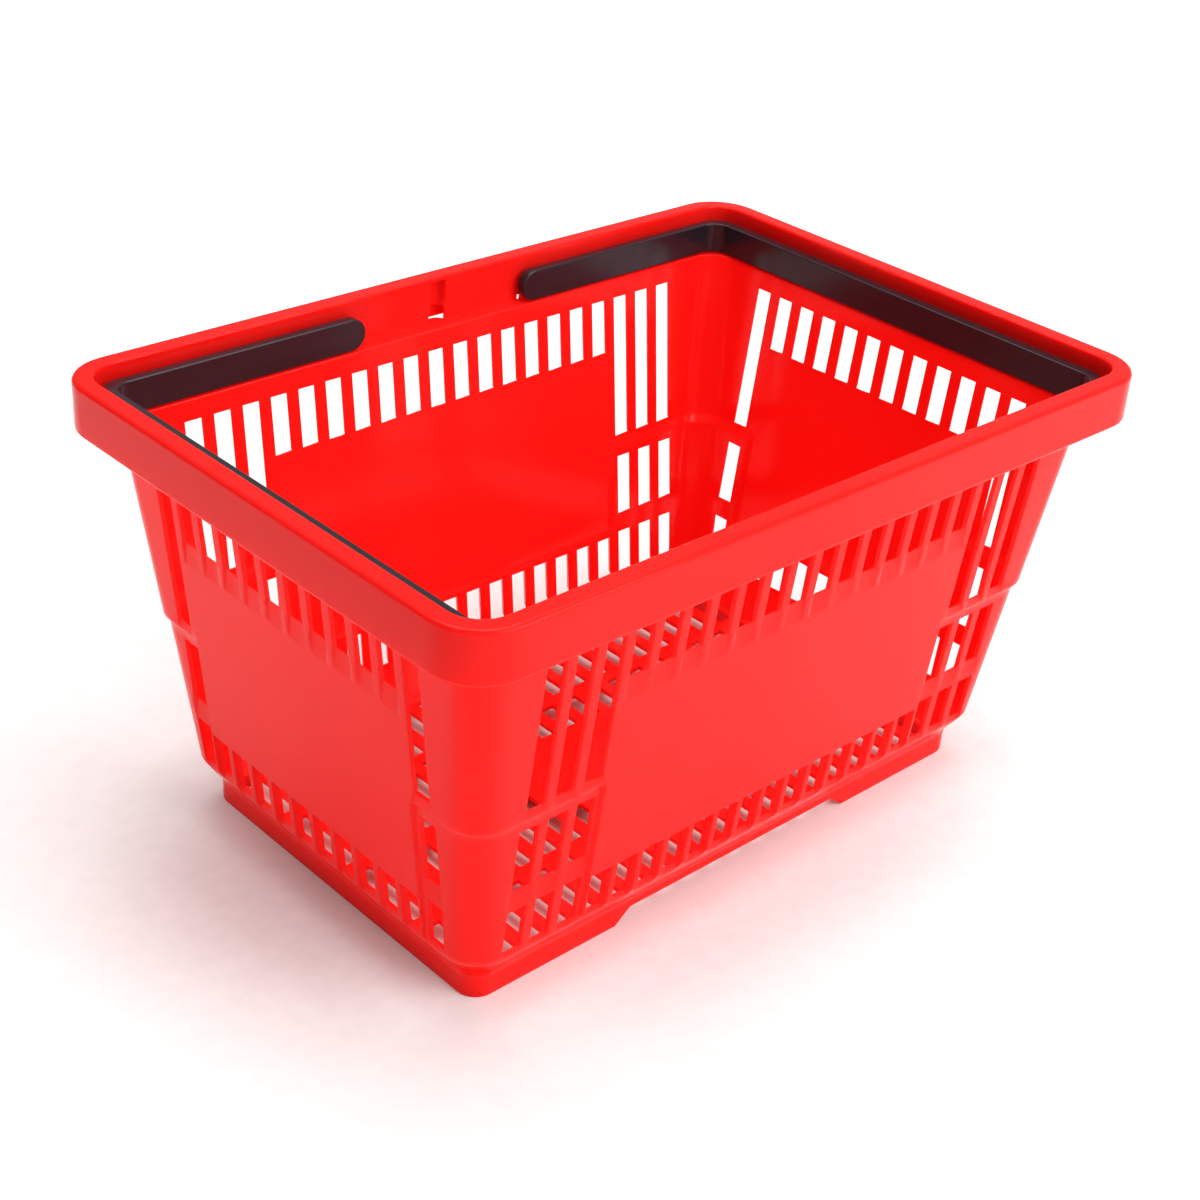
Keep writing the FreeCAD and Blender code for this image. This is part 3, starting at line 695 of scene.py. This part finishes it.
def moulding_mesh():
    stations = loop_stations()
    rows, heights, first = profile()
    grid = [[row(s) for s in stations] for row in rows]
    last_outer = first["outer"] + len(heights) - 1
    partner = {first["inner"] + i: last_outer - i for i in range(len(heights))}
    partner[first["drain_in"]] = first["drain_out"] + 1
    partner[first["drain_in"] + 1] = first["drain_out"]
    holes = set()
    for j, a in enumerate(stations):
        b = stations[(j + 1) % len(stations)]
        for i in range(len(heights) - 1):
            if slot_between(a, b, heights[i], heights[i + 1]):
                holes |= {(first["inner"] + i, j), (last_outer - i - 1, j)}
        if groove_between(a, b):
            holes |= {(first["drain_in"], j), (first["drain_out"], j)}
    builder = Builder()
    for row in range(len(rows) - 1):
        add_cells(builder, grid, row, holes, partner)
    add_floor(builder, stations, grid[0], FLOOR_TOP)
    add_floor(builder, stations, grid[-1], FLOOR_BOTTOM)
    add_floor_sides(builder, stations)
    return builder.mesh("basket_moulding")


# --- objects ----------------------------------------------------------------------------------
def box_faces(builder, x0, x1, y0, y1, z0, z1):
    p = [Vector((x, y, z)) for z in (z0, z1) for x, y in ((x0, y0), (x1, y0), (x1, y1), (x0, y1))]
    for ring in ((0, 3, 2, 1), (4, 5, 6, 7), (0, 1, 5, 4), (1, 2, 6, 5), (2, 3, 7, 6), (3, 0, 4, 7)):
        builder.face([p[i] for i in ring])


def rod_faces(builder, x, z, radius, y0, y1):
    """Closed cylinder along Y."""
    turns = [2.0 * math.pi * i / ROD_SIDES for i in range(ROD_SIDES)]
    rings = [[Vector((x + radius * math.cos(a), y, z + radius * math.sin(a))) for a in turns]
             for y in (y0, y1)]
    builder.face(rings[0])
    builder.face(rings[1])
    for i in range(ROD_SIDES):
        k = (i + 1) % ROD_SIDES
        builder.face([rings[0][i], rings[0][k], rings[1][k], rings[1][i]])


def face_outwards(obj):
    mesh = bmesh.new()
    mesh.from_mesh(obj.data)
    bmesh.ops.recalc_face_normals(mesh, faces=mesh.faces)
    mesh.to_mesh(obj.data)
    mesh.free()


def soften(obj, radius):
    """Rounded sharp edges and smooth shading."""
    modifier = obj.modifiers.new("edges", "BEVEL")
    modifier.width = radius * MM
    modifier.segments = 2
    modifier.limit_method = "ANGLE"
    modifier.angle_limit = math.radians(SHARP_ANGLE)
    modifier.use_clamp_overlap = False
    obj.data.shade_smooth()
    weighted = obj.modifiers.new("normals", "WEIGHTED_NORMAL")
    weighted.keep_sharp = True
    weighted.weight = 60


def add_object(name, mesh, body, material):
    obj = bpy.data.objects.new(name, mesh)
    bpy.context.scene.collection.objects.link(obj)
    mesh.materials.append(material)
    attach(obj, body)
    return obj


def cut_holes(obj):
    """Pin holes and drain notches through the inner skin of the long rims."""
    builder = Builder()
    face = HALF_W - RIM_TOP_W
    for sign in (-1, 1):
        y0, y1 = sorted((sign * (face - CUT_PAST), sign * (face + RIM_INNER_SKIN + CUT_PAST)))
        for x in (-PIVOT_X, PIVOT_X):
            rod_faces(builder, x, PIVOT_Z, HOLE_R, y0, y1)
        for x in (-NOTCH_X, NOTCH_X):
            box_faces(builder, x - NOTCH_W / 2.0, x + NOTCH_W / 2.0, y0, y1,
                      LEDGE_TOP - CUT_PAST, LEDGE_TOP + NOTCH_H)
    cutter = bpy.data.objects.new("cutter", builder.mesh("cutter"))
    bpy.context.scene.collection.objects.link(cutter)
    face_outwards(cutter)
    cut = obj.modifiers.new("holes", "BOOLEAN")
    cut.operation = "DIFFERENCE"
    cut.solver = "EXACT"
    cut.object = cutter
    evaluated = obj.evaluated_get(bpy.context.evaluated_depsgraph_get())
    mesh = bpy.data.meshes.new_from_object(evaluated)
    obj.modifiers.remove(cut)
    obj.data = mesh
    bpy.data.objects.remove(cutter)


def make_moulding(material):
    """The whole red moulding; it takes the place of the design's regions on the same body."""
    obj = add_object("basket_moulding", moulding_mesh(), "basket", material)
    face_outwards(obj)
    cut_holes(obj)
    soften(obj, EDGE_R)
    moulded = [name for name, node in frame["nodes"].items() if node["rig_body"] == "basket"]
    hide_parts(*sorted(moulded))


def make_ribs(material):
    """Thin stiffening ribs across the channel under the rim."""
    builder = Builder()
    top = TOP - RIM_SKIN + RIB_OVERLAP
    near = RIM_TOP_W - RIM_INNER_SKIN + RIB_OVERLAP
    far = RIM_SKIN - RIB_OVERLAP
    for sign in (-1, 1):
        y0, y1 = sorted((sign * (HALF_W - near), sign * (HALF_W - far)))
        for x in LONG_RIBS:
            box_faces(builder, x - RIB_T / 2.0, x + RIB_T / 2.0, y0, y1, RIB_BOTTOM, top)
        x0, x1 = sorted((sign * (HALF_L - near), sign * (HALF_L - far)))
        for y in SHORT_RIBS:
            box_faces(builder, x0, x1, y - RIB_T / 2.0, y + RIB_T / 2.0, RIB_BOTTOM, top)
    obj = add_object("rim_ribs", builder.mesh("rim_ribs"), "basket", material)
    face_outwards(obj)
    soften(obj, RIB_EDGE_R)


def dress_handle(node, material):
    node.data.materials.clear()
    node.data.materials.append(material)
    node.data.shade_smooth()
    node.modifiers.new("normals", "WEIGHTED_NORMAL")


# --- camera and light -------------------------------------------------------------------------
def make_camera():
    """Seen from above the front left corner, tipped slightly to one side."""
    data = bpy.data.cameras.new("camera")
    camera = bpy.data.objects.new("camera", data)
    bpy.context.scene.collection.objects.link(camera)
    yaw, pitch, roll = (math.radians(a) for a in (CAMERA_YAW, CAMERA_PITCH, CAMERA_ROLL))
    back = Vector((math.sin(yaw) * math.cos(pitch), -math.cos(yaw) * math.cos(pitch), math.sin(pitch)))
    right = (-back).cross(Vector((0, 0, 1))).normalized()
    up = right.cross(-back)
    x = right * math.cos(roll) + up * math.sin(roll)
    y = -right * math.sin(roll) + up * math.cos(roll)
    turned = Matrix((x, y, back)).transposed().to_4x4()
    camera.matrix_world = Matrix.Translation(Vector(CAMERA_PLACE)) @ turned
    data.sensor_width = 36.0
    data.lens = CAMERA_LENS
    data.clip_start = 0.01
    bpy.context.scene.camera = camera


def area_light(name, place, target, size, power):
    """Rectangular light with places and sizes in metres and power in watts."""
    data = bpy.data.lights.new(name, "AREA")
    data.shape = "RECTANGLE"
    data.size, data.size_y = size
    data.energy = power
    lamp = bpy.data.objects.new(name, data)
    bpy.context.scene.collection.objects.link(lamp)
    lamp.location = place
    lamp.rotation_mode = "QUATERNION"
    lamp.rotation_quaternion = (Vector(target) - Vector(place)).to_track_quat("-Z", "Y")


def make_world():
    """Soft room light: bright above and in front (-Y), dim at the left (-X) and behind."""
    world = bpy.data.worlds.new("studio")
    world.use_nodes = True
    tree = world.node_tree
    background = tree.nodes["Background"]
    background.inputs["Color"].default_value = (1.0, 0.99, 0.98, 1)
    coord = tree.nodes.new("ShaderNodeTexCoord")
    tilt = tree.nodes.new("ShaderNodeVectorMath")
    tilt.operation = "DOT_PRODUCT"
    tilt.inputs[1].default_value = (0.16, -0.20, 0.16)
    level = tree.nodes.new("ShaderNodeMath")
    level.operation = "ADD"
    level.inputs[1].default_value = 0.40
    tree.links.new(coord.outputs["Generated"], tilt.inputs[0])
    tree.links.new(tilt.outputs["Value"], level.inputs[0])
    tree.links.new(level.outputs["Value"], background.inputs["Strength"])
    bpy.context.scene.world = world


def make_studio():
    make_world()
    bpy.context.scene.view_settings.view_transform = "Standard"
    area_light("key", place=(0.5, -1.8, 1.3), target=(0, 0, 0.12), size=(1.6, 1.2), power=31.0)
    area_light("top", place=(0.2, 0.3, 2.0), target=(0, 0, 0.1), size=(1.6, 1.6), power=30.0)
    builder = Builder()
    corners = ((-1, -1), (1, -1), (1, 1), (-1, 1))
    builder.face([Vector((GROUND_HALF * sx, GROUND_HALF * sy, 0.0)) for sx, sy in corners])
    ground = bpy.data.objects.new("ground", builder.mesh("ground"))
    bpy.context.scene.collection.objects.link(ground)
    ground.data.materials.append(pale_ground())


# --- build ------------------------------------------------------------------------------------
make_camera()
make_studio()
red = red_plastic()
black = black_plastic()
make_moulding(red)
make_ribs(red)
for handle in ("left_handle", "right_handle"):
    dress_handle(frame["nodes"][handle], black)
